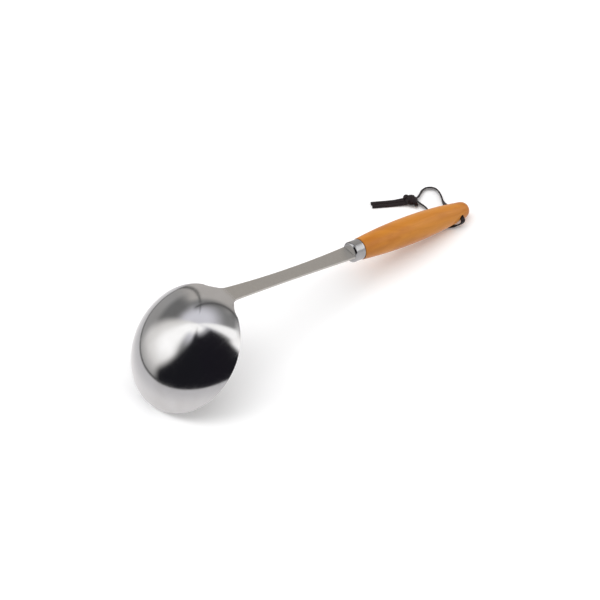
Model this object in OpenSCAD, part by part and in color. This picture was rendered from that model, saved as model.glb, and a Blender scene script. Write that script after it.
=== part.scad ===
// Long-handled wok ladle, lying at rest with its bowl face down and its handle's end on the surface.
// The steel is drawn about the bowl: the rim lies in the plane z = 0, the bowl's bottom is up and the
// shank leaves towards +X. at_rest() then tips the whole ladle until the rim and the handle touch z = 0.

/* [Bowl] */
// Radius of the bowl at the outside of its rim
bowl_radius = 55; // [40:0.5:70]
// Depth from the rim's plane to the outside of the bottom
bowl_depth = 28.2; // [20:0.1:36]
// Thickness of the steel sheet
sheet = 1.8; // [1.2:0.1:2.5]

/* [Neck] */
// Length of the domed tongue from the rim to the crease where the shank turns flat
tongue_length = 4; // [2:0.5:8]
// Distance from the middle at which the rim's circle gives way to the straight shoulders
shoulder_from = 24.7; // [16:0.1:32]
// Radius of the fillets between the shoulders and the shank's edges
neck_fillet = 4; // [1:0.5:6]
// Angle between the rim's plane and the shank where it starts
neck_angle = 54.3; // [40:0.1:65]

/* [Shank] */
// Length from the crease to the front of the ferrule
shank_length = 129.4; // [90:0.1:180]
// Width at the crease
neck_width = 16.9; // [12:0.1:20]
// Width at the waist
waist_width = 13.1; // [9:0.1:15]
// Distance from the crease to the waist
waist_at = 64; // [40:1:80]
// Width where the shank meets the ferrule
shoulder_width = 16.4; // [12:0.1:16.5]
// Angle through which the shank bows upwards over its length
shank_bow = 4; // [1:0.1:8]

/* [Tang] */
// Width of the tang behind the shoulder
tang_width = 9; // [6:0.5:11]
// Length of the tang behind the ferrule's face
tang_length = 52; // [30:1:70]
// Diameter of the bore that the tang is bedded in
tang_bore = 11; // [9.5:0.5:13]
// Depth of resin beyond the tang's tip
bedding_end = 3; // [1:0.5:6]

/* [Ferrule] */
// Outside diameter of the ferrule
ferrule_diameter = 18.4; // [17:0.1:21]
// Length of the ferrule
ferrule_length = 11.2; // [9:0.1:18]
// Wall of the ferrule
ferrule_wall = 0.8; // [0.5:0.1:1.2]
// Radius of the ferrule's front corner
ferrule_corner = 2; // [1.3:0.1:3]
// Clearance all round the tang in the ferrule's slot
slot_clearance = 0.15; // [0.05:0.05:0.4]

/* [Handle] */
// Length of the wood behind the ferrule
handle_length = 126.5; // [100:0.1:160]
// Diameter of the wood against the ferrule
handle_front = 19.2; // [18:0.1:23]
// Largest diameter
belly_diameter = 25; // [23:0.1:30]
// Distance from the ferrule to the largest diameter
belly_at = 54; // [35:1:70]
// Radius of the rounded end
end_radius = 7.8; // [6:0.1:10.5]
// Distance from the rounded end to the lace hole's axis
hole_from_end = 14; // [12:0.5:25]
// Diameter of the lace hole
hole_diameter = 5; // [4:0.1:6]

/* [Lace] */
// Width of the flat leather lace
lace_width = 4; // [2.8:0.1:4.6]
// Thickness of the lace
lace_thickness = 1.4; // [1:0.1:2]

/* [Hidden] */
$fn = 128;
// Circles with very long radii are drawn with more sides
long_arc = 1440;
fillet_steps = 8;
// Extent of the cutting solids past what they cut
over = 1;

// The bowl's outside is a sphere
sphere_radius = (bowl_radius ^ 2 + bowl_depth ^ 2) / (2 * bowl_depth);
sphere_z = bowl_depth - sphere_radius;
middle_radius = sphere_radius - sheet / 2;
rim_angle = asin(bowl_radius / sphere_radius);
crease_angle = rim_angle + tongue_length / middle_radius * 180 / PI;
crease = [middle_radius * sin(crease_angle), sphere_z + middle_radius * cos(crease_angle)];

// The shank's middle is one long arc, and the tang and the handle follow its end
bow_radius = shank_length * 180 / PI / shank_bow;
handle_angle = neck_angle - shank_bow;
bow_centre = crease + bow_radius * [sin(neck_angle), cos(neck_angle)];
shank_end = bow_centre - bow_radius * [sin(handle_angle), cos(handle_angle)];

// The end of the wood is a ball, seen along the handle from the ferrule's face
ball_at = ferrule_length + handle_length - end_radius;
ball = shank_end + ball_at * [cos(handle_angle), -sin(handle_angle)];
hole_at = ferrule_length + handle_length - hole_from_end;

// The surface touches the rim's outer edge and the ball
low_rim = [-bowl_radius, 0];
reach = ball - low_rim;
rest_tilt = asin(end_radius / norm(reach)) - atan2(reach[1], reach[0]);
function rested_x(p) = (p - low_rim) * [cos(rest_tilt), -sin(rest_tilt)];
dome_front = rested_x([0, sphere_z]) - sphere_radius;
front_x = 90 - rest_tilt < rim_angle ? dome_front : 0;
back_x = rested_x(ball) + end_radius;
centre_x = (front_x + back_x) / 2;

// Routes of the lace on the surface, from the middle of its hole: each entry is a point on the lace's
// centreline and the way that its flat side faces there. The far strand leaves on the +Y side.
far_strand = [
    [[161.3, 0, 9.1], [0, 0, 1]],
    [[161.3, 4.5, 9.1], [0, 0, 1]],
    [[161.4, 8.5, 9], [0, 0, 1]],
    [[161.8, 12, 7.8], [-1, 1, 3]],
    [[163, 15.4, 5.5], [-2, 2, 1]],
    [[164.7, 19.1, 3.4], [-3, 2, 1]],
    [[167, 23.8, 2.1], [-6, 3, 0]],
    [[170, 29.3, 2.1], [-6, 3, -1]],
    [[172.5, 35.3, 2.1], [-6, 1, -3]],
    [[173, 40.3, 2.1], [-6, -1, -4]],
    [[171, 44.7, 2.1], [-5, -4, -6]],
    [[166.9, 47.3, 2.1], [-1, -6, -6]],
    [[162.1, 46.9, 2.1], [1, -6, -5]],
    [[157.6, 44.6, 2.1], [3, -6, -4]],
    [[150.5, 42, 2.8], [2, -3, -4]],
];
near_strand = [
    [[161.3, 0, 9.1], [0, 0, 1]],
    [[161.3, -4.5, 9.1], [0, 0, 1]],
    [[161.3, -8.8, 9.1], [0, 0, 1]],
    [[160.9, -10.8, 8], [0, -1, 1]],
    [[159.7, -11.3, 6], [0, -1, 0]],
    [[158, -10.3, 4.1], [0, -2, -1]],
    [[155.3, -8, 2.4], [0, -1, -1]],
    [[152.2, -5, 1.2], [0, -1, -3]],
    [[148.4, -1.5, 0.75], [0, 0, -1]],
    [[146.6, 3, 0.75], [0, 0, -1]],
    [[146.4, 9, 1.6], [-1, 0, -2]],
    [[147.3, 15.3, 2.1], [-6, 1, -3]],
    [[149, 21.8, 2.1], [-6, 1, -3]],
    [[149.9, 27.8, 2.1], [-6, 0, -3]],
    [[149.6, 33.6, 2.1], [-6, -1, -4]],
    [[148.7, 38.6, 2.2], [-2, -1, -3]],
];
far_tail = [
    [[142, 47.2, 2.4], [0, 0, -1]],
    [[134.2, 52.2, 1.2], [0, 0, -1]],
    [[127.8, 56.3, 0.9], [0, 0, -1]],
    [[121.8, 60.2, 0.9], [0, 0, -1]],
    [[115.8, 64.1, 0.9], [0, 0, -1]],
];
near_tail = [
    [[141.2, 42.2, 2.4], [0, 0, -1]],
    [[132.8, 48, 1.2], [0, 0, -1]],
    [[126.1, 52.4, 0.9], [0, 0, -1]],
    [[119.9, 56.4, 0.9], [0, 0, -1]],
    [[114.3, 60.1, 0.9], [0, 0, -1]],
];
// The knot's middle on the surface, and the way that the tails leave it
knot_place = [146, 43.8];
tails_towards = 147;
// Lumps of the knot: place along the tails, across them and up, and radius
knot_lumps = [
    [-3.2, 0.5, 3.7, 3.5],
    [-2, 7, 3.2, 3.1],
    [3, 0.5, 3.4, 3.2],
    [5, -3.5, 4.6, 2.3],
];
lace_sides = 8;

// Drawn about the bowl, placed at rest on z = 0
module at_rest() {
    translate([-centre_x, 0, 0])
        rotate([0, -rest_tilt, 0])
            translate([-low_rim[0], 0, -low_rim[1]])
                children();
}

// +Z runs along the handle from the ferrule's face, and +Y stays +Y
module along_handle() {
    at_rest()
        translate([shank_end[0], 0, shank_end[1]])
            rotate([0, 90 + handle_angle, 0])
                children();
}

// +X runs along the shank from the crease and +Z is square to the sheet
module along_neck() {
    translate([crease[0], 0, crease[1]])
        rotate([0, neck_angle, 0])
            children();
}

// The whole hollow sphere that the bowl and its tongue are cut from
module hollow_sphere() {
    translate([0, 0, sphere_z])
        difference() {
            sphere(sphere_radius);
            sphere(sphere_radius - sheet);
        }
}

// Outline of the tongue: straight shoulders from inside the rim to the crease, and a fillet in each corner
module tongue_outline() {
    rim_sag = bowl_radius - sqrt(bowl_radius ^ 2 - shoulder_from ^ 2);
    rim_x = (bowl_radius - rim_sag - crease[0]) * cos(neck_angle) + crease[1] * sin(neck_angle);
    edge_y = neck_width / 2;
    lean = -rim_x / (shoulder_from - edge_y);
    root_y = shoulder_from + sheet;
    root_x = -lean * (root_y - edge_y);
    middle = [neck_fillet * (sqrt(1 + lean ^ 2) - lean), edge_y + neck_fillet];
    first = 180 + atan(lean);
    arc = [for (i = [0:fillet_steps])
        let (turn = first + (270 - first) * i / fillet_steps)
            middle + neck_fillet * [cos(turn), sin(turn)]];
    side = concat([[root_x - sheet, root_y], [root_x, root_y]], arc);
    polygon(concat(side, [for (i = [len(side) - 1:-1:0]) [side[i][0], -side[i][1]]]));
}

// Half of the waisted outline on one side, from the waist to a wider end at distance run
module waist_cut(run, end_width) {
    swell = (end_width - waist_width) / 2;
    edge_radius = (run ^ 2 + swell ^ 2) / (2 * swell);
    translate([0, waist_width / 2 + edge_radius])
        circle(edge_radius, $fn = long_arc);
}

module shank_outline() {
    lap = sheet / 4;
    shoulder_run = shank_length - waist_at;
    difference() {
        translate([-lap, -shoulder_width])
            square([shank_length + lap + over, 2 * shoulder_width]);
        for (side = [0, 1]) {
            mirror([0, side])
                intersection() {
                    translate([waist_at, 0])
                        waist_cut(waist_at, neck_width);
                    translate([-over, 0])
                        square([waist_at + over, 2 * shoulder_width]);
                }
            mirror([0, side])
                intersection() {
                    translate([waist_at, 0])
                        waist_cut(shoulder_run, shoulder_width);
                    translate([waist_at, 0])
                        square([shoulder_run + 2 * over, 2 * shoulder_width]);
                }
        }
    }
}

// Side view of the shank: a ring sector of sheet from just before the crease to the ferrule's face
module shank_side() {
    lap_angle = sheet / 4 / bow_radius * 180 / PI;
    first = neck_angle + lap_angle;
    far = 1.01 * bow_radius;
    intersection() {
        translate(bow_centre)
            difference() {
                circle(bow_radius + sheet / 2, $fn = 4 * long_arc);
                circle(bow_radius - sheet / 2, $fn = 4 * long_arc);
            }
        polygon([
            bow_centre,
            bow_centre - far * [sin(first), cos(first)],
            bow_centre - far * [sin(handle_angle), cos(handle_angle)],
        ]);
    }
}

module shank() {
    intersection() {
        rotate([90, 0, 0])
            linear_extrude(height = 2 * shoulder_width, center = true)
                shank_side();
        along_neck()
            rotate([0, -shank_bow / 2, 0])
                linear_extrude(height = shank_length, center = true)
                    shank_outline();
    }
}

module tang(clearance = 0) {
    translate([-sheet / 2 - clearance, -tang_width / 2 - clearance, -over])
        cube([sheet + 2 * clearance, tang_width + 2 * clearance, tang_length + over + clearance]);
}

module ladle_body() {
    color("silver") {
        at_rest() {
            intersection() {
                hollow_sphere();
                union() {
                    translate([-sphere_radius, -sphere_radius, 0])
                        cube([2 * sphere_radius, 2 * sphere_radius, 2 * sphere_radius]);
                    along_neck()
                        linear_extrude(height = 10 * sheet, center = true)
                            tongue_outline();
                }
            }
            shank();
        }
        along_handle() tang();
    }
}

// Outer shape of the ferrule, shrunk by inset all round
module cap_profile(inset = 0) {
    radius = ferrule_diameter / 2 - inset;
    corner = ferrule_corner - inset;
    translate([0, inset + corner])
        square([radius, ferrule_length - inset - corner]);
    translate([0, inset])
        square([radius - corner, corner]);
    intersection() {
        translate([radius - corner, inset + corner])
            circle(corner);
        translate([0, inset])
            square([radius, corner]);
    }
}

module ferrule() {
    color("gainsboro")
        along_handle()
            difference() {
                rotate_extrude()
                    difference() {
                        cap_profile();
                        cap_profile(ferrule_wall);
                    }
                tang(slot_clearance);
            }
}

// Turned outline of the wood: two long arcs that meet at the belly, and a ball tangent to the second
module wood_profile() {
    belly = belly_diameter / 2;
    belly_z = ferrule_length + belly_at;
    front_rise = belly - handle_front / 2;
    front_arc = (belly_at ^ 2 + front_rise ^ 2) / (2 * front_rise);
    back_run = ball_at - belly_z;
    back_arc = (back_run ^ 2 + belly ^ 2 - end_radius ^ 2) / (2 * (belly - end_radius));
    tangent = asin(back_run / (back_arc - end_radius));
    tangent_z = ball_at + end_radius * sin(tangent);
    intersection() {
        translate([belly - front_arc, belly_z])
            circle(front_arc, $fn = long_arc);
        translate([0, ferrule_length])
            square([belly, belly_at]);
    }
    intersection() {
        translate([belly - back_arc, belly_z])
            circle(back_arc, $fn = long_arc);
        translate([0, belly_z])
            square([belly, tangent_z - belly_z]);
    }
    intersection() {
        translate([0, ball_at])
            circle(end_radius);
        translate([0, tangent_z])
            square([end_radius, end_radius]);
    }
}

module handle() {
    color("chocolate")
        along_handle()
            difference() {
                union() {
                    rotate_extrude() wood_profile();
                    rotate_extrude() cap_profile(ferrule_wall);
                }
                translate([0, 0, -over])
                    cylinder(d = tang_bore, h = tang_length + bedding_end + over);
                translate([0, 0, hole_at])
                    rotate([90, 0, 0])
                        cylinder(d = hole_diameter, h = 2 * belly_diameter, center = true);
            }
}

module tang_bedding() {
    color("khaki")
        along_handle()
            difference() {
                translate([0, 0, ferrule_wall])
                    cylinder(d = tang_bore, h = tang_length + bedding_end - ferrule_wall);
                tang();
            }
}

function unit(v) = v / norm(v);

// Point at share t of the smooth curve through entries i and i + 1 of list
function between(list, i, t) =
    let (
        last = len(list) - 1,
        a = list[max(i - 1, 0)],
        b = list[i],
        c = list[min(i + 1, last)],
        d = list[min(i + 2, last)]
    )
    b + (c - a) * t / 2 + (2 * a - 5 * b + 4 * c - d) * t ^ 2 / 2 + (3 * b - a - 3 * c + d) * t ^ 3 / 2;

// The list again with one more entry between each pair
function finer(list) = [
    for (i = [0:2 * len(list) - 2])
        between(list, floor(i / 2), i % 2 / 2)
];

// One ring of the lace round entry i of a route
function lace_ring(route, i) =
    let (
        last = len(route) - 1,
        along = unit(route[min(i + 1, last)][0] - route[max(i - 1, 0)][0]),
        across = unit(cross(along, route[i][1])),
        face = cross(across, along)
    )
    [
        for (side = [0:lace_sides - 1])
            let (turn = 360 * (side + 0.5) / lace_sides)
                route[i][0]
                + across * cos(turn) * lace_width / 2
                + face * sin(turn) * lace_thickness / 2
    ];

// Flat lace swept along a route, closed at both ends
module lace(route) {
    rings = [for (i = [0:len(route) - 1]) lace_ring(route, i)];
    last = len(rings) - 1;
    polyhedron(
        points = [for (ring = rings) each ring],
        faces = concat(
            [[for (side = [0:lace_sides - 1]) lace_sides - 1 - side]],
            [[for (side = [0:lace_sides - 1]) last * lace_sides + side]],
            [
                for (i = [0:last - 1], side = [0:lace_sides - 1])
                    let (next = (side + 1) % lace_sides)
                        [
                            i * lace_sides + side,
                            i * lace_sides + next,
                            (i + 1) * lace_sides + next,
                            (i + 1) * lace_sides + side
                        ]
            ]
        ),
        convexity = 10
    );
}

module lace_far_strand() {
    color("saddlebrown")
        lace(finer(far_strand));
}

module lace_near_strand() {
    color("saddlebrown")
        lace(finer(near_strand));
}

module lace_far_tail() {
    color("saddlebrown")
        lace(far_tail);
}

module lace_near_tail() {
    color("saddlebrown")
        lace(near_tail);
}

// The knot's outer shape
module lace_knot() {
    color("saddlebrown")
        translate(knot_place)
            rotate(tails_towards)
                hull()
                    for (lump = knot_lumps)
                        translate([lump[0], lump[1], lump[2]])
                            sphere(lump[3], $fn = 24);
}

ladle_body();
ferrule();
handle();
tang_bedding();
lace_far_strand();
lace_near_strand();
lace_knot();
lace_far_tail();
lace_near_tail();
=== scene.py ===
"""Wok ladle with a lacquered wooden handle and a leather hanging lace, dressed for the studio.

Lengths in the classes are millimetres in the ladle's own frames, and points become metres in the
shared frame only when a mesh is written.
"""

import logging
import math
from dataclasses import dataclass, field
from enum import Enum

import bmesh
import bpy
import numpy as np
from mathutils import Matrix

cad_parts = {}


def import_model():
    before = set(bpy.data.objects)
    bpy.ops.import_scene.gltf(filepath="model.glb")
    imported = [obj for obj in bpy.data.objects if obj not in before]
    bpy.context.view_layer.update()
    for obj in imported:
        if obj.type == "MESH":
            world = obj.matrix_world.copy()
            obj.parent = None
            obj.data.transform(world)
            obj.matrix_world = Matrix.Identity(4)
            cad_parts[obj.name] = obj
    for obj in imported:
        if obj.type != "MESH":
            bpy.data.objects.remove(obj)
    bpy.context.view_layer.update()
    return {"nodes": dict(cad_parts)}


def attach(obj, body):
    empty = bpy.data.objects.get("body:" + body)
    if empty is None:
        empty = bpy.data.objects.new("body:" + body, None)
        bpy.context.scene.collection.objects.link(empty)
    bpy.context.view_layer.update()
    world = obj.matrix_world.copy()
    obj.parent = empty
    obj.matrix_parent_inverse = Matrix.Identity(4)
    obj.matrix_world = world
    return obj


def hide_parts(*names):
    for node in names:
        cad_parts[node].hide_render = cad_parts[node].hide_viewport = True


LOG = logging.getLogger("ladle")
MM = 0.001
ROOT = "root"

Array = np.ndarray
Colour = tuple[float, float, float]


# ---------------------------------------------------------------------------------------------
# Meshes


def unit(vectors: Array) -> Array:
    """Each vector divided by its own length.

    Args:
        vectors: array whose last axis holds x, y and z.

    Returns:
        The same array of unit vectors.
    """
    return vectors / np.linalg.norm(vectors, axis=-1, keepdims=True)


def smooth(low: float, high: float, values: Array) -> Array:
    """Smooth step 3t^2 - 2t^3 of t, the share of the way from low to high, held in 0 to 1."""
    share = np.clip((values - low) / (high - low), 0.0, 1.0)
    return share * share * (3.0 - 2.0 * share)


def spline(knots: Array, per_span: int) -> Array:
    """Catmull-Rom curve through the knots, each span cut into equal steps of its parameter.

    Args:
        knots: N rows of any number of columns.
        per_span: steps between one knot and the next.

    Returns:
        (N - 1) * per_span + 1 rows.
    """
    padded = np.vstack([2 * knots[0] - knots[1], knots, 2 * knots[-1] - knots[-2]])
    steps = np.arange((len(knots) - 1) * per_span + 1) / per_span
    start = np.minimum(steps.astype(int), len(knots) - 2)
    t = (steps - start)[:, None]
    a, b, c, d = (padded[start + k] for k in range(4))
    return b + 0.5 * t * (c - a + t * (2 * a - 5 * b + 4 * c - d + t * (3 * (b - c) + d - a)))


def evenly(points: Array, count: int) -> Array:
    """The same polyline cut again at equal distances along its first three columns.

    Args:
        points: rows that start with x, y and z.
        count: number of rows wanted.

    Returns:
        count rows, the first and last as they were.
    """
    gaps = np.linalg.norm(np.diff(points[:, :3], axis=0), axis=1)
    along = np.concatenate([[0.0], np.cumsum(gaps)])
    wanted = np.linspace(0.0, along[-1], count)
    return np.stack([np.interp(wanted, along, column) for column in points.T], axis=1)


def grid_faces(rows: int, columns: int, closed: bool, first: int = 0) -> Array:
    """Quads of a grid of points stored row by row.

    Args:
        rows: number of rows.
        columns: number of points in a row.
        closed: whether the last point of each row joins the first.
        first: index of the grid's first point in the mesh.

    Returns:
        An array of four indices for each quad.
    """
    row, column = np.meshgrid(
        np.arange(rows - 1), np.arange(columns if closed else columns - 1), indexing="ij"
    )
    beside = (column + 1) % columns
    quads = np.stack(
        [
            row * columns + column,
            row * columns + beside,
            (row + 1) * columns + beside,
            (row + 1) * columns + column,
        ],
        axis=-1,
    )
    return quads.reshape(-1, 4) + first


@dataclass
class Shell:
    """Grids of points gathered into one closed mesh.

    Attributes:
        points: arrays of mesh points, in millimetres in the shared frame.
        faces: lists of quads or end polygons.
        maps: for each point, its place in the piece's own flat map, in millimetres.
    """

    points: list[Array] = field(default_factory=list)
    faces: list[list[int]] = field(default_factory=list)
    maps: list[Array] = field(default_factory=list)

    def add(self, grid: Array, flat: Array, cap_ends: bool = True) -> None:
        """Adds a tube-like grid, whose rows are closed loops.

        Args:
            grid: rows by columns by 3 points.
            flat: rows by columns by 2 map places.
            cap_ends: whether the first and last loops are filled.
        """
        first = sum(len(block) for block in self.points)
        rows, columns = grid.shape[:2]
        self.points.append(grid.reshape(-1, 3))
        self.maps.append(flat.reshape(-1, 2))
        self.faces.extend(grid_faces(rows, columns, True, first).tolist())
        if cap_ends:
            loop = np.arange(columns)
            self.faces.append((first + loop[::-1]).tolist())
            self.faces.append((first + (rows - 1) * columns + loop).tolist())

    def build(self, name: str, weld: float = 1e-4) -> bpy.types.Object:
        """Makes the object: welded, shaded smooth and with its faces outwards.

        Args:
            name: the piece's name.
            weld: distance in millimetres under which points become one.

        Returns:
            The new object, at the origin.
        """
        points = np.concatenate(self.points) * MM
        flat = np.concatenate(self.maps) * MM
        mesh = bpy.data.meshes.new(name)
        mesh.from_pydata(points.tolist(), [], self.faces)
        layer = mesh.uv_layers.new(name="flat")
        corners = np.empty(len(mesh.loops), dtype=np.int32)
        mesh.loops.foreach_get("vertex_index", corners)
        layer.data.foreach_set("uv", flat[corners].astype(np.float32).ravel())
        weld_and_face_outwards(mesh, weld * MM)
        mesh.shade_smooth()
        piece = bpy.data.objects.new(name, mesh)
        bpy.context.scene.collection.objects.link(piece)
        return piece


def weld_and_face_outwards(mesh: bpy.types.Mesh, distance: float) -> None:
    """Merges points closer than distance, drops empty faces and turns all faces outwards."""
    work = bmesh.new()
    work.from_mesh(mesh)
    bmesh.ops.remove_doubles(work, verts=work.verts, dist=distance)
    bmesh.ops.dissolve_degenerate(work, edges=work.edges, dist=distance)
    bmesh.ops.recalc_face_normals(work, faces=work.faces)
    work.to_mesh(mesh)
    work.free()


def soften(piece: bpy.types.Object, degrees: float) -> None:
    """Keeps edges sharper than an angle crisp on a smooth-shaded piece."""
    piece.data.set_sharp_from_angle(angle=math.radians(degrees))


# ---------------------------------------------------------------------------------------------
# Finishes


@dataclass
class Nodes:
    """Short calls for building one node tree."""

    tree: bpy.types.NodeTree

    def add(self, kind: str, inputs: dict | None = None, **settings) -> bpy.types.Node:
        """Adds a node.

        Args:
            kind: the node's type name.
            inputs: socket name or number to a value, or to another node's output socket.
            **settings: the node's own properties.

        Returns:
            The new node.
        """
        node = self.tree.nodes.new(kind)
        for name, value in settings.items():
            setattr(node, name, value)
        for name, value in (inputs or {}).items():
            if isinstance(value, bpy.types.NodeSocket):
                self.tree.links.new(value, node.inputs[name])
            else:
                node.inputs[name].default_value = value
        return node

    def math(self, operation: str, *values) -> bpy.types.NodeSocket:
        """One step of arithmetic on numbers or sockets."""
        return self.add("ShaderNodeMath", dict(enumerate(values)), operation=operation).outputs[0]

    def mix(self, share, first, second) -> bpy.types.NodeSocket:
        """Colour a share of the way from the first colour to the second."""
        node = self.add("ShaderNodeMix", {0: share, 6: first, 7: second}, data_type="RGBA")
        return node.outputs[2]

    def step(self, value, low: float, high: float, start: float = 0.0, end: float = 1.0):
        """Smooth step from start to end as value goes from low to high."""
        node = self.add(
            "ShaderNodeMapRange",
            {0: value, 1: low, 2: high, 3: start, 4: end},
            interpolation_type="SMOOTHSTEP",
        )
        return node.outputs[0]

    def noise(self, place, scale: float, detail: float = 3.0, rough: float = 0.5, **extra):
        """Fractal noise at a place."""
        node = self.add(
            "ShaderNodeTexNoise",
            {"Vector": place, "Scale": scale, "Detail": detail, "Roughness": rough, **extra},
        )
        return node.outputs["Fac"]

    def stretch(self, place, scale: tuple[float, float, float], turn=(0.0, 0.0, 0.0)):
        """A place scaled along each axis after a turn given in degrees."""
        node = self.add(
            "ShaderNodeMapping",
            {
                "Vector": place,
                "Rotation": tuple(math.radians(angle) for angle in turn),
                "Scale": scale,
            },
        )
        return node.outputs[0]


def rgba(colour: Colour) -> tuple[float, float, float, float]:
    """The colour with full opacity."""
    return (*colour, 1.0)


def new_material(name: str) -> tuple[bpy.types.Material, Nodes, bpy.types.Node]:
    """An empty material with one principled shader.

    Returns:
        The material, its nodes and the shader.
    """
    material = bpy.data.materials.new(name)
    material.use_nodes = True
    material.node_tree.nodes.clear()
    nodes = Nodes(material.node_tree)
    shader = nodes.add("ShaderNodeBsdfPrincipled")
    nodes.add("ShaderNodeOutputMaterial", {"Surface": shader.outputs[0]})
    return material, nodes, shader


def dress(piece: bpy.types.Object, material: bpy.types.Material) -> None:
    """Gives the whole piece one material."""
    piece.data.materials.clear()
    piece.data.materials.append(material)


@dataclass(frozen=True)
class LadleSteel:
    """Stainless sheet: mirror-polished on the bowl and brushed across the shank.

    Attributes:
        tint: colour of the metal.
        warm_tint: colour of the brushed shank.
        mirror: roughness of the bowl.
        satin: roughness of the shank.
        crease: distance along the map at which the bowl ends, in metres.
        blend: half length of the band where polish turns to brushing, in metres.
        scratch_depth: depth of the brushing, in metres.
        marks: how much the use marks on the bowl dull the polish.
    """

    tint: Colour = (0.63, 0.625, 0.628)
    warm_tint: Colour = (0.56, 0.54, 0.51)
    mirror: float = 0.09
    satin: float = 0.34
    crease: float = 0.137
    blend: float = 0.004
    scratch_depth: float = 0.000004
    marks: float = 0.07

    def make(self) -> bpy.types.Material:
        """Brushing and polish meet in a soft band at the crease, told apart by the flat map."""
        material, nodes, shader = new_material("ladle_steel")
        flat = nodes.add("ShaderNodeUVMap", uv_map="flat").outputs[0]
        along = nodes.add("ShaderNodeSeparateXYZ", {0: flat}).outputs[0]
        shank = nodes.step(along, self.crease - self.blend, self.crease + self.blend)
        place = nodes.add("ShaderNodeTexCoord").outputs["Object"]
        cloud = nodes.noise(place, 38.0, 3.0)
        hair = nodes.noise(nodes.stretch(flat, (5200.0, 260.0, 1.0), (0, 0, 12)), 1.0, 2.0)
        swirl = nodes.noise(nodes.stretch(flat, (420.0, 3600.0, 1.0)), 1.0, 2.0, 0.6)
        brushed = nodes.mix(nodes.step(hair, 0.3, 0.7), rgba((0.47, 0.45, 0.425)), rgba(self.warm_tint))
        polished = nodes.mix(nodes.step(cloud, 0.35, 0.7), rgba(self.tint), rgba((0.59, 0.582, 0.578)))
        colour = nodes.mix(shank, polished, brushed)
        nodes.tree.links.new(colour, shader.inputs["Base Color"])
        marks = nodes.noise(nodes.stretch(place, (36.0, 900.0, 36.0), (0, 0, 58)), 1.0, 2.0, 0.6)
        marks = nodes.step(marks, 0.62, 0.7, 0.0, self.marks)
        polish = nodes.step(cloud, 0.3, 0.75, self.mirror, self.mirror + 0.035)
        polish = nodes.math("ADD", polish, marks)
        satin = nodes.step(hair, 0.25, 0.75, self.satin - 0.05, self.satin + 0.06)
        rough = nodes.add("ShaderNodeMix", {0: shank, 2: polish, 3: satin}).outputs[0]
        nodes.tree.links.new(rough, shader.inputs["Roughness"])
        fine = nodes.add("ShaderNodeMix", {0: shank, 2: nodes.math("MULTIPLY", swirl, 0.05), 3: hair})
        bump = nodes.add(
            "ShaderNodeBump",
            {"Strength": 1.0, "Distance": self.scratch_depth, "Height": fine.outputs[0]},
        )
        nodes.tree.links.new(bump.outputs[0], shader.inputs["Normal"])
        shader.inputs["Metallic"].default_value = 1.0
        return material


@dataclass(frozen=True)
class CapSteel:
    """Polished pressed steel of the ferrule.

    Attributes:
        tint: colour of the metal.
        rough: roughness of the polish.
    """

    tint: Colour = (0.44, 0.435, 0.435)
    rough: float = 0.12

    def make(self) -> bpy.types.Material:
        """Polish with faint cloudy handling marks."""
        material, nodes, shader = new_material("cap_steel")
        place = nodes.add("ShaderNodeTexCoord").outputs["Object"]
        cloud = nodes.noise(place, 160.0, 3.0)
        colour = nodes.mix(cloud, rgba(self.tint), rgba((0.33, 0.33, 0.335)))
        nodes.tree.links.new(colour, shader.inputs["Base Color"])
        rough = nodes.step(cloud, 0.3, 0.7, self.rough - 0.03, self.rough + 0.07)
        nodes.tree.links.new(rough, shader.inputs["Roughness"])
        shader.inputs["Metallic"].default_value = 1.0
        return material


@dataclass(frozen=True)
class LacqueredWood:
    """Turned hardwood under a clear amber lacquer, its grain along the handle.

    Attributes:
        pale, deep: colours of the early and late wood.
        patch: colour of the darker, redder clouds.
        slope: fall of the handle's axis in degrees.
    """

    pale: Colour = (0.63, 0.24, 0.022)
    deep: Colour = (0.51, 0.17, 0.013)
    patch: Colour = (0.40, 0.125, 0.014)
    slope: float = 12.0

    def make(self) -> bpy.types.Material:
        """Long stretched noise for fibres, wider noise for bands and clouds, fine dark pores."""
        material, nodes, shader = new_material("lacquered_wood")
        place = nodes.add("ShaderNodeTexCoord").outputs["Object"]
        level = nodes.stretch(place, (1.0, 1.0, 1.0), (0, -self.slope, 0))
        bands = nodes.noise(nodes.stretch(level, (16.0, 70.0, 70.0)), 1.0, 4.0, 0.55, Distortion=0.8)
        fibres = nodes.noise(nodes.stretch(level, (60.0, 1500.0, 1500.0)), 1.0, 3.0, 0.6)
        clouds = nodes.noise(nodes.stretch(level, (22.0, 60.0, 60.0)), 1.0, 2.0)
        pores = nodes.noise(nodes.stretch(level, (210.0, 3400.0, 3400.0)), 1.0, 1.0)
        colour = nodes.mix(nodes.step(bands, 0.36, 0.64), rgba(self.pale), rgba(self.deep))
        colour = nodes.mix(nodes.step(clouds, 0.45, 0.75, 0.0, 0.5), colour, rgba(self.patch))
        colour = nodes.mix(nodes.step(fibres, 0.35, 0.7, 0.0, 0.16), colour, rgba(self.deep))
        dark = nodes.step(pores, 0.67, 0.75, 0.0, 0.2)
        colour = nodes.mix(dark, colour, rgba((0.13, 0.045, 0.012)))
        nodes.tree.links.new(colour, shader.inputs["Base Color"])
        rough = nodes.step(fibres, 0.3, 0.7, 0.36, 0.46)
        nodes.tree.links.new(rough, shader.inputs["Roughness"])
        relief = nodes.math("SUBTRACT", nodes.math("MULTIPLY", fibres, 0.5), dark)
        bump = nodes.add(
            "ShaderNodeBump", {"Strength": 1.0, "Distance": 0.00003, "Height": relief}
        )
        nodes.tree.links.new(bump.outputs[0], shader.inputs["Normal"])
        shader.inputs["Coat Weight"].default_value = 0.15
        shader.inputs["Specular IOR Level"].default_value = 0.3
        shader.inputs["Coat Roughness"].default_value = 0.22
        return material


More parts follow.
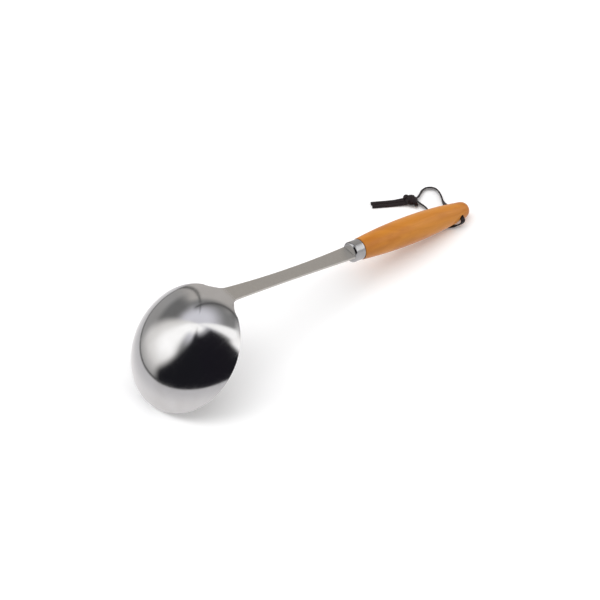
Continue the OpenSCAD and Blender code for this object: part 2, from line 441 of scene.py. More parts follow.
@dataclass(frozen=True)
class LaceLeather:
    """Dyed flat leather, smooth on its faces and rougher at its cut edges.

    Attributes:
        dye: colour of the leather.
        worn: colour where the dye is thinner.
    """

    dye: Colour = (0.010, 0.0048, 0.0050)
    worn: Colour = (0.034, 0.019, 0.021)

    def make(self) -> bpy.types.Material:
        """Fine pebbled grain in both bump and colour."""
        material, nodes, shader = new_material("lace_leather")
        place = nodes.add("ShaderNodeTexCoord").outputs["Object"]
        grain = nodes.add("ShaderNodeTexVoronoi", {"Vector": place, "Scale": 2600.0}).outputs[0]
        cloud = nodes.noise(place, 420.0, 3.0)
        colour = nodes.mix(nodes.step(cloud, 0.45, 0.8, 0.0, 0.7), rgba(self.dye), rgba(self.worn))
        nodes.tree.links.new(colour, shader.inputs["Base Color"])
        rough = nodes.step(cloud, 0.3, 0.7, 0.34, 0.5)
        nodes.tree.links.new(rough, shader.inputs["Roughness"])
        height = nodes.math("ADD", nodes.math("MULTIPLY", grain, 0.6), cloud)
        bump = nodes.add(
            "ShaderNodeBump", {"Strength": 0.7, "Distance": 0.00005, "Height": height}
        )
        nodes.tree.links.new(bump.outputs[0], shader.inputs["Normal"])
        shader.inputs["Specular IOR Level"].default_value = 0.3
        return material


@dataclass(frozen=True)
class Resin:
    """Cured amber glue round the tang."""

    tint: Colour = (0.45, 0.32, 0.14)

    def make(self) -> bpy.types.Material:
        """Cloudy amber with small bubbles."""
        material, nodes, shader = new_material("cured_resin")
        place = nodes.add("ShaderNodeTexCoord").outputs["Object"]
        cloud = nodes.noise(place, 300.0, 2.0)
        colour = nodes.mix(cloud, rgba(self.tint), rgba((0.3, 0.2, 0.08)))
        nodes.tree.links.new(colour, shader.inputs["Base Color"])
        shader.inputs["Roughness"].default_value = 0.3
        return material


# ---------------------------------------------------------------------------------------------
# The ladle


@dataclass
class LadleForm:
    """Sizes that the ladle's pieces share, and the way from the bowl's frame to the shared one.

    In the bowl's frame the rim lies in z = 0, the bowl's bottom is up and the shank leaves
    towards +X.
    """

    bowl_radius: float = 55.0
    bowl_depth: float = 28.2
    sheet: float = 1.8
    tongue_length: float = 4.0
    shoulder_from: float = 24.7
    neck_fillet: float = 4.0
    neck_angle: float = 54.3
    shank_length: float = 129.4
    neck_width: float = 16.9
    waist_width: float = 13.1
    waist_at: float = 64.0
    shoulder_width: float = 16.4
    shank_bow: float = 4.0
    tang_width: float = 9.0
    tang_length: float = 52.0
    slot_clearance: float = 0.15
    ferrule_diameter: float = 18.4
    ferrule_length: float = 11.2
    ferrule_wall: float = 0.8
    ferrule_corner: float = 2.0
    handle_length: float = 126.5
    end_radius: float = 7.8

    def __post_init__(self) -> None:
        """Works out the sphere, the crease, the shank's arc and the rest tilt."""
        self.sphere_radius = (self.bowl_radius**2 + self.bowl_depth**2) / (2 * self.bowl_depth)
        self.sphere_z = self.bowl_depth - self.sphere_radius
        self.middle_radius = self.sphere_radius - self.sheet / 2
        rim_angle = math.asin(self.bowl_radius / self.sphere_radius)
        self.crease_angle = rim_angle + self.tongue_length / self.middle_radius
        self.crease = np.array(
            [
                self.middle_radius * math.sin(self.crease_angle),
                self.sphere_z + self.middle_radius * math.cos(self.crease_angle),
            ]
        )
        self.bow_radius = self.shank_length / math.radians(self.shank_bow)
        neck = math.radians(self.neck_angle)
        self.handle_angle = math.radians(self.neck_angle - self.shank_bow)
        self.bow_centre = self.crease + self.bow_radius * np.array([math.sin(neck), math.cos(neck)])
        self.shank_end = self.shank_line(np.array([self.shank_length]))[0][0]
        self.ball_at = self.ferrule_length + self.handle_length - self.end_radius
        ball = self.shank_end + self.ball_at * self.handle_way()
        reach = ball - np.array([-self.bowl_radius, 0.0])
        self.rest_tilt = math.asin(self.end_radius / np.linalg.norm(reach)) - math.atan2(
            reach[1], reach[0]
        )
        back = self.tip(np.array([ball[0], 0.0, ball[1]]))[0] + self.end_radius
        front = self.tip(np.array([0.0, 0.0, self.sphere_z]))[0] - self.sphere_radius
        self.centre_x = (front + back) / 2

    def handle_way(self) -> Array:
        """Unit vector along the handle, in x and z of the bowl's frame."""
        return np.array([math.cos(self.handle_angle), -math.sin(self.handle_angle)])

    def tip(self, points: Array) -> Array:
        """Points of the bowl's frame tipped about the low rim point to lie at rest."""
        cosine, sine = math.cos(self.rest_tilt), math.sin(self.rest_tilt)
        x, y, z = points[..., 0] + self.bowl_radius, points[..., 1], points[..., 2]
        return np.stack([x * cosine - z * sine, y, x * sine + z * cosine], axis=-1)

    def rest(self, points: Array) -> Array:
        """Points of the bowl's frame placed in the shared frame, still in millimetres."""
        return self.tip(points) - np.array([self.centre_x, 0.0, 0.0])

    def along_handle(self, points: Array) -> Array:
        """Points whose z runs along the handle from the ferrule's face, in the shared frame."""
        way = self.handle_way()
        x = self.shank_end[0] + points[..., 2] * way[0] + points[..., 0] * way[1]
        z = self.shank_end[1] + points[..., 2] * way[1] - points[..., 0] * way[0]
        return self.rest(np.stack([x, points[..., 1], z], axis=-1))

    def shank_line(self, distance: Array) -> tuple[Array, Array]:
        """Middle of the shank's sheet and its normal, in x and z of the bowl's frame.

        The line is an arc of the bow radius from the crease to the ferrule, and straight after.

        Args:
            distance: distances along the line from the crease.

        Returns:
            Points and unit normals.
        """
        on_arc = np.minimum(distance, self.shank_length)
        angle = math.radians(self.neck_angle) - on_arc / self.bow_radius
        normal = np.stack([np.sin(angle), np.cos(angle)], axis=-1)
        points = self.bow_centre - self.bow_radius * normal
        onward = (distance - on_arc)[..., None] * np.stack([np.cos(angle), -np.sin(angle)], axis=-1)
        return points + onward, normal

    def strip_half_width(self, distance: Array) -> Array:
        """Half the width of the strip: two long arcs that meet at the waist, then the tang.

        Args:
            distance: distances along the strip from the crease.

        Returns:
            Half widths.
        """
        before = distance < self.waist_at
        run = np.where(before, self.waist_at, self.shank_length - self.waist_at)
        end_width = np.where(before, self.neck_width, self.shoulder_width)
        swell = (end_width - self.waist_width) / 2
        radius = (run**2 + swell**2) / (2 * swell)
        aside = np.clip(distance - self.waist_at, -self.waist_at, self.shank_length - self.waist_at)
        half = self.waist_width / 2 + radius - np.sqrt(radius**2 - aside**2)
        return np.where(distance > self.shank_length + 1e-6, self.tang_width / 2, half)


@dataclass
class LadleBody:
    """Bowl, neck, shank and hidden tang as one sheet of steel with softly broken edges.

    Attributes:
        form: the shared sizes.
        edge: radius of the broken edges.
        crease_blend: half length over which the dome flattens into the shank.
        bowl_rows: rows of points over the bowl.
        across: points in a row on each face.
        corner_steps: points round each broken edge.
    """

    form: LadleForm
    edge: float = 0.4
    crease_blend: float = 4.0
    bowl_rows: int = 150
    across: int = 73
    corner_steps: int = 5

    def profile(self) -> tuple[Array, Array, Array]:
        """Cross-section of the sheet as a closed loop.

        Returns:
            For each loop point: place across from -1 to 1, offset from the sheet's middle, and
            how far the outline is drawn in there by the broken edge.
        """
        half = self.form.sheet / 2
        bend = np.linspace(0.0, math.pi / 2, self.corner_steps)[1:]
        flat = np.sin(np.linspace(-1.0, 1.0, self.across) * math.pi / 2)
        offset = half - self.edge * (1 - np.cos(bend))
        inset = self.edge * (1 - np.sin(bend))
        offset = np.concatenate([offset, -offset[::-1]])
        inset = np.concatenate([inset, inset[::-1]])
        side = np.ones(len(offset))
        place = np.concatenate([flat, side, flat[::-1], -side])
        offsets = np.concatenate(
            [np.full(self.across, half), offset, np.full(self.across, -half), offset[::-1]]
        )
        insets = np.concatenate(
            [np.full(self.across, self.edge), inset, np.full(self.across, self.edge), inset]
        )
        return place, offsets, insets

    def surface(self) -> tuple[Array, Array]:
        """The whole sheet as rows across the ladle, from the bowl's low edge to the tang's tip.

        On the bowl a row is a straight cut across a sphere of radius middle + offset, and its
        ends lie on the circle where that sphere meets the rim's plane. On the tongue the ends
        follow the straight shoulders and their fillets. The first of those rows are shifted to
        meet the bowl's last one. Past the crease the rows are flat and follow the shank's arc.

        Returns:
            Grid of points in the shared frame, and the same grid in the flat map.
        """
        form = self.form
        place, offset, inset = self.profile()
        radius = form.middle_radius + offset
        rim = np.sqrt(radius**2 - form.sphere_z**2) - inset
        last_turn = math.acos(-math.sqrt(1 - (form.shoulder_from / form.bowl_radius) ** 2))
        turns = np.linspace(0.0, last_turn, self.bowl_rows)[:, None]
        bowl_x = -rim * np.cos(turns)
        bowl = self.on_sphere(bowl_x, rim * np.sin(turns) * place, radius)

        run, half = self.shoulder(inset)
        settle = 1 - smooth(0.0, 1.0, np.linspace(0.0, 1.0, len(run))[:, None])
        shift = bowl_x[-1] - self.dome_x(run[0], offset)
        tongue = self.sheet_at(
            run, half + settle * (rim * math.sin(last_turn) - half[0]), settle * shift
        )

        fillet_end = float(run[-1].mean())
        shank_stations = np.concatenate(
            [
                np.linspace(fillet_end, 8.0, 14)[1:],
                np.linspace(8.0, form.shank_length, 64)[1:],
                [form.shank_length + 0.02],
                np.linspace(form.shank_length + 0.02, form.shank_length + form.tang_length, 8)[1:],
            ]
        )
        width = form.strip_half_width(shank_stations)[:, None] - inset
        stations = np.broadcast_to(shank_stations[:, None], width.shape)
        strip = self.sheet_at(stations, width, 0.0)

        grid = np.concatenate([bowl, tongue, strip])
        ridge = grid[:, self.across // 2]
        along = np.concatenate([[0.0], np.cumsum(np.linalg.norm(np.diff(ridge, axis=0), axis=1))])
        flat = np.stack(np.broadcast_arrays(along[:, None], grid[..., 1]), axis=-1)
        runs = np.concatenate([run[:, self.across // 2], shank_stations])
        self.crease_along = float(np.interp(0.0, runs, along[-len(runs) :]))
        return form.rest(grid), flat

    def shoulder(self, inset: Array) -> tuple[Array, Array]:
        """Side of the tongue: a straight shoulder, then the fillet's arc into the shank's edge.

        Both are drawn in by the inset, square to the line and out from the arc's middle.

        Args:
            inset: how far each loop point is drawn in.

        Returns:
            Distance along the shank's line from the crease, and half width, row by row.
        """
        form = self.form
        neck, edge_y = math.radians(form.neck_angle), form.neck_width / 2
        rim_x = math.sqrt(form.bowl_radius**2 - form.shoulder_from**2) - form.crease[0]
        rim_x = rim_x * math.cos(neck) + form.crease[1] * math.sin(neck)
        lean = -rim_x / (form.shoulder_from - edge_y)
        slant = math.sqrt(1 + lean**2)
        middle = np.array([form.neck_fillet * (slant - lean), edge_y + form.neck_fillet])
        touch_y = middle[1] - form.neck_fillet * lean / slant
        line_y = np.linspace(form.shoulder_from, touch_y, 16)[:-1, None]
        line_run = -lean * (line_y - edge_y) - inset / slant
        line_half = line_y - inset * lean / slant
        first = math.pi + math.atan(lean)
        turn = np.linspace(first, 1.5 * math.pi, 12)[:, None]
        reach = form.neck_fillet + inset
        run = np.concatenate([line_run, middle[0] + reach * np.cos(turn)])
        return run, np.concatenate([line_half, middle[1] + reach * np.sin(turn)])

    def dome_x(self, run: Array, offset: Array) -> Array:
        """Place along x of a distance past the crease, at an offset from the sheet's middle."""
        neck = math.radians(self.form.neck_angle)
        return self.form.crease[0] + run * math.cos(neck) + offset * math.sin(neck)

    def sheet_at(self, run: Array, half: Array, shift: Array | float) -> Array:
        """Rows of the sheet where the dome flattens into the shank by a smooth step.

        Args:
            run: distance past the crease of each point.
            half: half width there.
            shift: how far the dome's rows are moved along x to meet the bowl.

        Returns:
            Grid of points in the bowl's frame.
        """
        place, offset, _ = self.profile()
        middle, normal = self.form.shank_line(run)
        strip = np.stack(
            [
                middle[..., 0] + offset * normal[..., 0],
                half * place,
                middle[..., 1] + offset * normal[..., 1],
            ],
            axis=-1,
        )
        near = run < 2 * self.crease_blend
        radius = self.form.middle_radius + offset
        dome = self.on_sphere(
            np.where(near, self.dome_x(run, offset) + shift, 0.0),
            np.where(near, half * place, 0.0),
            radius,
        )
        flatness = smooth(-self.crease_blend, self.crease_blend, run)[..., None]
        return np.where(near[..., None], dome + (strip - dome) * flatness, strip)

    def on_sphere(self, x: Array, y: Array, radius: Array) -> Array:
        """Points of the bowl's sphere of a radius above x and y: its height is a square root."""
        height = self.form.sphere_z + np.sqrt(np.maximum(radius**2 - x**2 - y**2, 0.0))
        return np.stack(np.broadcast_arrays(x, y, height), axis=-1)

    def build(self) -> bpy.types.Object:
        """Makes the piece, in place of the frame's plain ladle body."""
        shell = Shell()
        shell.add(*self.surface())
        piece = shell.build("pressed_ladle")
        soften(piece, 50.0)
        dress(piece, LadleSteel(crease=self.crease_along * MM).make())
        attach(piece, ROOT)
        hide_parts("ladle_body")
        return piece


@dataclass
class Ferrule:
    """Pressed cap over the handle's front, with a rounded corner and the tang's slot.

    Attributes:
        form: the shared sizes.
        around: points in each loop.
        lip: width of the broken edge round the slot.
        rear_break: width of the broken edge at the open end.
        slot_squareness: power of the slot's rounded outline; 2 would be an ellipse.
    """

    form: LadleForm
    around: int = 160
    lip: float = 0.12
    rear_break: float = 0.2
    slot_squareness: float = 12.0

    def ring(self, radius: float, height: float) -> Array:
        """A circle round the handle's axis."""
        turn = np.linspace(0.0, 2 * math.pi, self.around, endpoint=False)
        return np.stack([radius * np.cos(turn), radius * np.sin(turn), 0 * turn + height], axis=-1)

    def slot(self, grow: float, height: float) -> Array:
        """The slot's outline: a rounded box |x|^p + |y|^p = 1 at the slot's half sizes."""
        turn = np.linspace(0.0, 2 * math.pi, self.around, endpoint=False)
        power = 2.0 / self.slot_squareness
        half_x = self.form.sheet / 2 + self.form.slot_clearance + grow
        half_y = self.form.tang_width / 2 + self.form.slot_clearance + grow
        x = half_x * np.sign(np.cos(turn)) * np.abs(np.cos(turn)) ** power
        y = half_y * np.sign(np.sin(turn)) * np.abs(np.sin(turn)) ** power
        return np.stack([x, y, 0 * turn + height], axis=-1)

    def surface(self) -> Array:
        """Loops from the slot over the face, corner, body and rear edge, and back inside."""
        form = self.form
        outer, corner, wall = form.ferrule_diameter / 2, form.ferrule_corner, form.ferrule_wall
        bend = np.linspace(0.0, math.pi / 2, 14)
        margin = 0.3
        face = [self.slot(0.0, self.lip), self.slot(self.lip, 0.0), self.slot(margin, 0.0)]
        face += [self.ring(r, 0.0) for r in np.linspace(0.72, 1.0, 4)[:-1] * (outer - corner)]
        over = [
            self.ring(outer - corner + corner * math.sin(b), corner - corner * math.cos(b))
            for b in bend
        ]
        end = form.ferrule_length
        body = [self.ring(outer, z) for z in np.linspace(corner, end - self.rear_break, 8)[1:]]
        halfway = 0.3 * self.rear_break
        rear = [self.ring(outer - halfway, end - halfway), self.ring(outer - self.rear_break, end)]
        inner = corner - wall
        back = [self.ring(outer - wall, end), self.ring(outer - wall, corner)]
        under = [
            self.ring(outer - corner + inner * math.sin(b), corner - inner * math.cos(b))
            for b in bend[::-1]
        ]
        inside = [self.slot(margin, wall), self.slot(0.0, wall)]
        return np.stack([*face, *over, *body, *rear, *back, *under, *inside, face[0]])

    def build(self) -> bpy.types.Object:
        """Makes the piece, in place of the frame's plain ferrule."""
        shell = Shell()
        loops = self.surface()
        turn = np.linspace(0.0, math.pi * self.form.ferrule_diameter, self.around)
        flat = np.stack(np.broadcast_arrays(turn[None, :], loops[..., 2]), axis=-1)
        shell.add(self.form.along_handle(loops), flat, cap_ends=False)
        piece = shell.build("pressed_ferrule")
        soften(piece, 40.0)
        dress(piece, CapSteel().make())
        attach(piece, ROOT)
        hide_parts("ferrule")
        return piece


# ---------------------------------------------------------------------------------------------
# The lace


class Strand(Enum):
    """The lace's two halves, each from the middle of its hole through the knot to its cut end."""

    FAR = "lace_far"
    NEAR = "lace_near"


# For each half: points on its centreline and the way that its flat side faces there.
ROUTES: dict[Strand, list[tuple[float, ...]]] = {
    Strand.FAR: [
        (161.3, 0, 9.1, 0, 0, 1),
        (161.3, 4.5, 9.1, 0, 0, 1),
        (161.4, 8.5, 9, 0, 0, 1),
        (161.8, 12, 7.8, -1, 1, 3),
        (163, 15.4, 5.5, -2, 2, 1),
        (164.7, 19.1, 3.4, -3, 2, 1),
        (167, 23.8, 2.1, -6, 3, 0),
        (170, 29.3, 2.1, -6, 3, -1),
        (172.5, 35.3, 2.1, -6, 1, -3),
        (173, 40.3, 2.1, -6, -1, -4),
        (171, 44.7, 2.1, -5, -4, -6),
        (166.9, 47.3, 2.1, -1, -6, -6),
        (162.1, 46.9, 2.1, 1, -6, -5),
        (157.6, 44.6, 2.1, 3, -6, -4),
        (150.5, 42, 2.8, 2, -3, -4),
        (142, 47.2, 2.4, 0, 0, -1),
        (134.2, 52.2, 1.2, 0, 0, -1),
        (127.8, 56.3, 0.9, 0, 0, -1),
        (121.8, 60.2, 0.9, 0, 0, -1),
        (115.8, 64.1, 0.9, 0, 0, -1),
    ],
    Strand.NEAR: [
        (161.3, 0, 9.1, 0, 0, 1),
        (161.3, -4.5, 9.1, 0, 0, 1),
        (161.3, -8.8, 9.1, 0, 0, 1),
        (160.9, -10.8, 8, 0, -1, 1),
        (159.7, -11.3, 6, 0, -1, 0),
        (158, -10.3, 4.1, 0, -2, -1),
        (155.3, -8, 2.4, 0, -1, -1),
        (152.2, -5, 1.2, 0, -1, -3),
        (148.4, -1.5, 0.75, 0, 0, -1),
        (146.6, 3, 0.75, 0, 0, -1),
        (146.4, 9, 1.6, -1, 0, -2),
        (147.3, 15.3, 2.1, -6, 1, -3),
        (149, 21.8, 2.1, -6, 1, -3),
        (149.9, 27.8, 2.1, -6, 0, -3),
        (149.6, 33.6, 2.1, -6, -1, -4),
        (148.7, 38.6, 2.2, -2, -1, -3),
        (141.2, 42.2, 2.4, 0, 0, -1),
        (132.8, 48, 1.2, 0, 0, -1),
        (126.1, 52.4, 0.9, 0, 0, -1),
        (119.9, 56.4, 0.9, 0, 0, -1),
        (114.3, 60.1, 0.9, 0, 0, -1),
    ],
}


@dataclass
class LaceBand:
    """Flat leather band swept along a curve.

    Attributes:
        width, thickness: the band's section.
        sides: points round the section.
        squareness: power of the section's rounded outline; 2 would be an ellipse.
    """

    width: float = 4.0
    thickness: float = 1.4
    sides: int = 28
    squareness: float = 4.5

    def section(self) -> Array:
        """Rounded box |x|^p + |y|^p = 1 with half sizes of the band, as points of a loop."""
        turn = np.linspace(0.0, 2 * math.pi, self.sides, endpoint=False)
        power = 2.0 / self.squareness
        cosine, sine = np.cos(turn), np.sin(turn)
        across = np.sign(cosine) * np.abs(cosine) ** power * self.width / 2
        out = np.sign(sine) * np.abs(sine) ** power * self.thickness / 2
        return np.stack([across, out], axis=-1)

    def sweep(self, centre: Array, facing: Array, closed: bool = False) -> tuple[Array, Array]:
        """Carries the section along a curve, its flat side towards facing.

        Args:
            centre: points of the curve.
            facing: the way that the flat side faces at each point.
            closed: whether the curve's last point joins its first.

        Returns:
            Grid of points and the same grid in the flat map.
        """
        if closed:
            along = unit(np.roll(centre, -1, axis=0) - np.roll(centre, 1, axis=0))
        else:
            along = unit(np.gradient(centre, axis=0))
        across = unit(np.cross(along, facing))
        out = np.cross(across, along)
        section = self.section()
        grid = (
            centre[:, None]
            + across[:, None] * section[None, :, :1]
            + out[:, None] * section[None, :, 1:]
        )
        gaps = np.linalg.norm(np.diff(centre, axis=0), axis=1)
        distance = np.concatenate([[0.0], np.cumsum(gaps)])
        flat = np.stack(np.broadcast_arrays(distance[:, None], section[None, :, 0]), axis=-1)
        return grid, flat

    def rounded_ends(self, grid: Array, flat: Array, radius: float = 0.25) -> tuple[Array, Array]:
        """Adds two drawn-in loops past each end, so that the cut ends have broken edges."""
        loops, places = [grid], [flat]
        for end, inner in ((0, 1), (-1, -2)):
            middle = grid[end].mean(axis=0)
            outward = unit(middle - grid[inner].mean(axis=0))
            rings = np.stack(
                [
                    middle + (grid[end] - middle) * (1 - 0.12 * k) + outward * radius * math.sqrt(k)
                    for k in (0.35, 1.0)
                ]
            )
            rings_flat = np.stack([flat[end]] * 2)
            if end == 0:
                loops.insert(0, rings[::-1])
                places.insert(0, rings_flat)
            else:
                loops.append(rings)
                places.append(rings_flat)
        return np.concatenate(loops), np.concatenate(places)


@dataclass
class Lace:
    """The knotted hanging lace: two halves of band and the knot that holds them.

    Attributes:
        form: the shared sizes; not used.
        band: the leather band.
        knot_place: middle of the knot on the surface.
        tails_towards: the way that the tails leave the knot, in degrees from +X.
        exit_y: distance from the middle to either mouth of the lace's hole; not used.
    """

    form: LadleForm
    band: LaceBand = field(default_factory=LaceBand)
    knot_place: tuple[float, float] = (146.0, 43.8)
    tails_towards: float = 147.0
    exit_y: float = 8.74

    def build(self) -> list[bpy.types.Object]:
        """Makes the knot first, then both halves."""
        leather = LaceLeather().make()
        knot = self.build_knot()
        dress(knot, leather)
        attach(knot, ROOT)
        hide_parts("lace_knot")
        halves = [self.build_half(strand, leather) for strand in Strand]
        return [knot, *halves]

    def build_half(
        self, strand: Strand, leather: bpy.types.Material
    ) -> bpy.types.Object:
        """Args:
            strand: which half.
            leather: the finish.

        Returns:
            The half's object.
        """
        rows = evenly(spline(np.array(ROUTES[strand], dtype=float), 24), 220)
        centre, facing = rows[:, :3], unit(rows[:, 3:])
        shell = Shell()
        shell.add(*self.band.rounded_ends(*self.band.sweep(centre, facing)))
        piece = shell.build(f"{strand.value}_half")
        dress(piece, leather)
        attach(piece, ROOT)
        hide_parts(f"{strand.value}_strand", f"{strand.value}_tail")
        return piece

    def in_knot(self, points: Array) -> Array:
        """Points of the knot's frame, x along the tails and z up, in the shared frame."""
        turn = math.radians(self.tails_towards)
        cosine, sine = math.cos(turn), math.sin(turn)
        x, y, z = points[..., 0], points[..., 1], points[..., 2]
        return np.stack(
            [
                self.knot_place[0] + x * cosine - y * sine,
                self.knot_place[1] + x * sine + y * cosine,
                z,
            ],
            axis=-1,
        )

    def wrap(
        self, middle: Array, reach: tuple[float, float], lean: float, skew: float, band: LaceBand
    ) -> tuple[Array, Array]:
        """One turn of the lace round the knot: an ellipse in a leaning plane, banded.

        Args:
            middle: centre of the turn in the knot's frame.
            reach: half width and half height of the turn.
            lean: how far the turn shifts along x per unit of height.
            skew: how far it shifts along x per unit of width.
            band: the band that is wound.

        Returns:
            Grid of points in the shared frame and its flat map.
        """
        turn = np.linspace(0.0, 2 * math.pi, 64, endpoint=False)
        y, z = reach[0] * np.cos(turn), reach[1] * np.sin(turn)
        centre = middle + np.stack([lean * z + skew * y, y, z], axis=-1)
        facing = np.stack([np.zeros_like(turn), y / reach[0] ** 2, z / reach[1] ** 2], axis=-1)
        grid, flat = band.sweep(centre, unit(facing), closed=True)
        grid = np.concatenate([grid, grid[:1]])
        flat = np.concatenate([flat, flat[-1:]])
        return self.in_knot(grid), flat

    def core(self, middle: Array, reach: Array) -> tuple[Array, Array]:
        """Rounded filling of the knot: an ellipsoid as a grid of latitude and longitude."""
        latitude = np.linspace(-math.pi / 2, math.pi / 2, 25)[:, None]
        longitude = np.linspace(0.0, 2 * math.pi, 40, endpoint=False)[None, :]
        ball = np.stack(
            np.broadcast_arrays(
                np.sin(latitude),
                np.cos(latitude) * np.cos(longitude),
                np.cos(latitude) * np.sin(longitude),
            ),
            axis=-1,
        )
        grid = self.in_knot(middle + ball * reach)
        flat = np.stack(np.broadcast_arrays(latitude * 3.0, longitude * 3.0), axis=-1)
        return grid, flat

    def build_knot(self) -> bpy.types.Object:
        """Two turns of lace round a filled core, and the bight that stands up at one side."""
        shell = Shell()
        shell.add(*self.core(np.array([-0.4, 2.2, 3.4]), np.array([5.7, 5.6, 3.1])), cap_ends=False)
        shell.add(*self.core(np.array([3.9, -2.4, 3.2]), np.array([3.0, 3.4, 2.5])), cap_ends=False)
        thick = LaceBand(width=3.6, thickness=1.7)
        shell.add(
            *self.wrap(np.array([-2.8, 3.0, 3.6]), (6.0, 2.7), 0.25, -0.18, thick), cap_ends=False
        )
        shell.add(
            *self.wrap(np.array([1.2, 1.2, 3.6]), (4.6, 2.6), -0.3, 0.22, thick), cap_ends=False
        )
        return shell.build("lace_overhand_knot")


# ---------------------------------------------------------------------------------------------
# The studio


@dataclass(frozen=True)
class Panel:
    """A soft-edged patch of light or dark on the tent round the ladle, in degrees.

    Attributes:
        azimuth, elevation: its middle.
        half_width, half_height: its reach each way.
        soft_width, soft_height: softness of its edges.
        colour: its radiance.
        cover: how much it hides what is behind it.
        slant: rise of its middle per degree of azimuth.
        lean: shift of its middle in azimuth per degree of elevation.
    """

    azimuth: float
    elevation: float
    half_width: float
    half_height: float
    soft_width: float
    soft_height: float
    colour: Colour
    cover: float = 1.0
    slant: float = 0.0
    lean: float = 0.0


def grey(level: float, warm: float = 0.0) -> Colour:
    """A grey of the given level, warmer for a positive second number and cooler for a negative."""
    return (level * (1 + warm), level, level * (1 - warm))


@dataclass
class Tent:
    """Light tent seen only by reflections and as the soft surrounding light.

    Attributes:
        up, side: the tent's own upright and its azimuth 0.
        floor, far_floor: the floor below and the same floor near the walls.
        panels: patches, each over those before it.
    """

    up: tuple[float, float, float] = (-0.10, 0.29, 0.952)
    side: tuple[float, float, float] = (0.995, 0.029, 0.096)
    panels: tuple[Panel, ...] = (
        # walls and roof
        Panel(90, 20, 180, 22, 1, 3, grey(0.42, 0.01)),
        Panel(0, 90, 180, 26, 1, 12, (0.92, 0.92, 0.99)),
        Panel(30, 22, 38, 26, 8, 6, grey(0.62, 0.04)),
        Panel(96, 44, 24, 15, 8, 8, grey(0.21)),
        # bright low band and strip at the right
        Panel(-40, 20, 34, 18, 6, 6, grey(1.7)),
        Panel(-52, 55, 10, 34, 4, 10, grey(1.5)),
        # seam between wall and roof
        Panel(6, 47, 54, 4.5, 8, 5, grey(0.16), 0.6, 0.3),
        Panel(6, 46.5, 54, 1.5, 6, 1.2, grey(0.08), 0.9, 0.3),
        # big soft light at the left
        Panel(143, 62, 34, 52, 9, 14, grey(1.0, 0.015)),
        Panel(152, 60, 24, 32, 15, 18, grey(1.6)),
        Panel(-150, 88, 80, 12, 30, 5, grey(1.6)),
        # open front of the tent, where the room is dark
        Panel(-108, 30, 40, 44, 5, 7, (0.014, 0.013, 0.018)),
        Panel(-168, 14, 38, 36, 8, 9, (0.014, 0.014, 0.018), 1.0, 0.95),
        # corner seam
        Panel(70, 32, 1.6, 40, 1.2, 8, grey(0.1), 0.85, 0.0, -0.36),
        # dark joint where the walls meet the floor
        Panel(125, 1.4, 56, 1.1, 6, 0.9, grey(0.06), 0.9),
    )
    floor: Colour = (0.98, 0.96, 0.965)
    far_floor: Colour = (0.74, 0.73, 0.745)
    seen: Colour = (0.92, 0.92, 0.925)

    def build(self) -> None:
        """Writes the tent into the world's nodes: each panel is mixed in by its own mask."""
        world = bpy.data.worlds.new("tent")
        bpy.context.scene.world = world
        world.use_nodes = True
        world.node_tree.nodes.clear()
        nodes = Nodes(world.node_tree)
        way = nodes.add("ShaderNodeTexCoord").outputs["Generated"]
        up = np.array(self.up) / np.linalg.norm(self.up)
        side = np.array(self.side) - up * np.dot(self.side, up)
        side /= np.linalg.norm(side)
        left = np.cross(up, side)
        height, east, north = (
            nodes.add("ShaderNodeVectorMath", {0: way, 1: tuple(axis)}, operation="DOT_PRODUCT").outputs[1]
            for axis in (up, side, left)
        )
        elevation = nodes.math("DEGREES", nodes.math("ARCSINE", height))
        azimuth = nodes.math("DEGREES", nodes.math("ARCTAN2", north, east))
        ground = nodes.mix(nodes.step(elevation, -26.0, -3.0), rgba(self.floor), rgba(self.far_floor))
        colour = nodes.mix(nodes.step(elevation, -2.2, -0.4), ground, rgba(grey(0.3)))
        for panel in self.panels:
            colour = self.over(nodes, panel, azimuth, elevation, colour)
        under = nodes.step(elevation, -1.6, -0.2)
        colour = nodes.mix(under, ground, colour)
        seen = nodes.add("ShaderNodeLightPath").outputs["Is Camera Ray"]
        colour = nodes.mix(seen, colour, rgba(self.seen))
        background = nodes.add("ShaderNodeBackground", {0: colour, 1: 1.0})
        nodes.add("ShaderNodeOutputWorld", {0: background.outputs[0]})

    def over(self, nodes: Nodes, panel: Panel, azimuth, elevation, behind):
        """Lays one panel over what is behind it.

        The mask is one smooth step across the panel's width times one across its height.
        """
        start = nodes.math("MULTIPLY_ADD", elevation, panel.lean, panel.azimuth)
        aside = nodes.math("WRAP", nodes.math("SUBTRACT", azimuth, start), 180.0, -180.0)
        middle = nodes.math("MULTIPLY_ADD", aside, panel.slant, panel.elevation)
        above = nodes.math("ABSOLUTE", nodes.math("SUBTRACT", elevation, middle))
        beside = nodes.math("ABSOLUTE", aside)
        wide = nodes.step(
            beside, panel.half_width - panel.soft_width, panel.half_width + panel.soft_width, 1.0, 0.0
        )
        high = nodes.step(
            above, panel.half_height - panel.soft_height, panel.half_height + panel.soft_height, 1.0, 0.0
        )
        mask = nodes.math("MULTIPLY", nodes.math("MULTIPLY", wide, high), panel.cover)
        return nodes.mix(mask, behind, rgba(panel.colour))


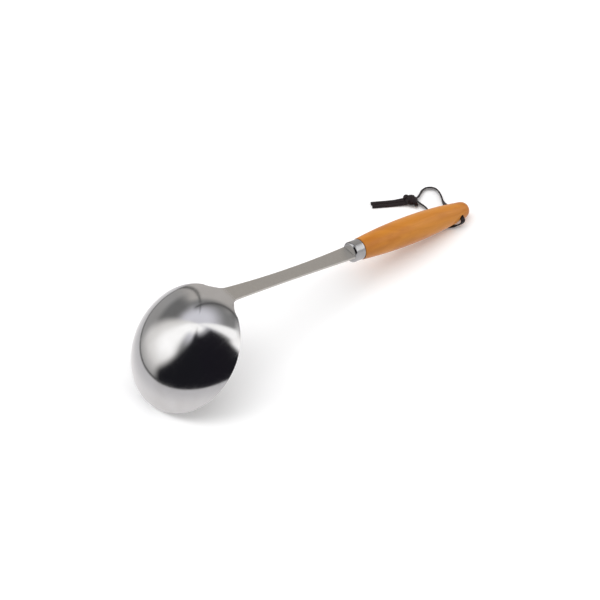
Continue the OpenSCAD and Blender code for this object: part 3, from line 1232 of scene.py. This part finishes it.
@dataclass
class Studio:
    """Pale floor, soft overhead light, tent and camera."""

    floor_size: float = 8.0
    floor_tint: Colour = (0.955, 0.955, 0.955)
    floor_glow: float = 0.12
    overhead_power: float = 25.0
    lens: float = 105.08
    camera_at: tuple[float, float, float] = (-0.61176, -0.84501, 1.09463)
    camera_turn: tuple[float, float, float] = (43.6796, 2.08996, -37.4536)

    def camera(self) -> None:
        """Places the camera."""
        data = bpy.data.cameras.new("view")
        data.lens = self.lens
        data.sensor_width = 36.0
        data.clip_end = 50.0
        camera = bpy.data.objects.new("view", data)
        camera.location = self.camera_at
        camera.rotation_euler = tuple(math.radians(angle) for angle in self.camera_turn)
        bpy.context.scene.collection.objects.link(camera)
        bpy.context.scene.camera = camera

    def floor(self) -> None:
        """Lays the pale floor, which only mirrors leave out because they show the tent's own."""
        half = self.floor_size / 2
        mesh = bpy.data.meshes.new("paper_floor")
        corners = [(-half, -half, 0), (half, -half, 0), (half, half, 0), (-half, half, 0)]
        mesh.from_pydata(corners, [], [(0, 1, 2, 3)])
        floor = bpy.data.objects.new("paper_floor", mesh)
        bpy.context.scene.collection.objects.link(floor)
        material, nodes, shader = new_material("floor_paper")
        place = nodes.add("ShaderNodeTexCoord").outputs["Object"]
        cloud = nodes.noise(place, 3.0, 2.0)
        tint = nodes.mix(cloud, rgba(self.floor_tint), rgba((0.96, 0.96, 0.958)))
        nodes.tree.links.new(tint, shader.inputs["Base Color"])
        shader.inputs["Emission Color"].default_value = (1.0, 1.0, 1.0, 1.0)
        shader.inputs["Emission Strength"].default_value = self.floor_glow
        shader.inputs["Roughness"].default_value = 0.9
        shader.inputs["Specular IOR Level"].default_value = 0.2
        dress(floor, material)
        floor.visible_glossy = False

    def overhead(self) -> None:
        """Hangs the wide soft light that brings the floor near to white."""
        data = bpy.data.lights.new("overhead", "AREA")
        data.shape = "SQUARE"
        data.size = 2.4
        data.energy = self.overhead_power
        light = bpy.data.objects.new("overhead", data)
        light.location = (-0.2, 0.1, 1.9)
        light.visible_glossy = False
        light.visible_camera = False
        bpy.context.scene.collection.objects.link(light)

    def build(self) -> None:
        """Sets up everything but the camera."""
        self.floor()
        self.overhead()
        Tent().build()
        bpy.context.scene.view_settings.view_transform = "Standard"


def main() -> None:
    """Builds and dresses the ladle in order, and logs each piece."""
    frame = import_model()
    studio = Studio()
    studio.camera()
    form = LadleForm()
    pieces = [*Lace(form).build(), LadleBody(form).build(), Ferrule(form).build()]
    nodes = frame["nodes"]
    for name, finish in (
        ("handle", LacqueredWood()),
        ("tang_bedding", Resin()),
    ):
        dress(nodes[name], finish.make())
        pieces.append(nodes[name])
    studio.build()
    for piece in pieces:
        LOG.info("%s: %d faces", piece.name, len(piece.data.polygons))


if __name__ == "__main__":
    logging.basicConfig(level=logging.INFO)
    main()
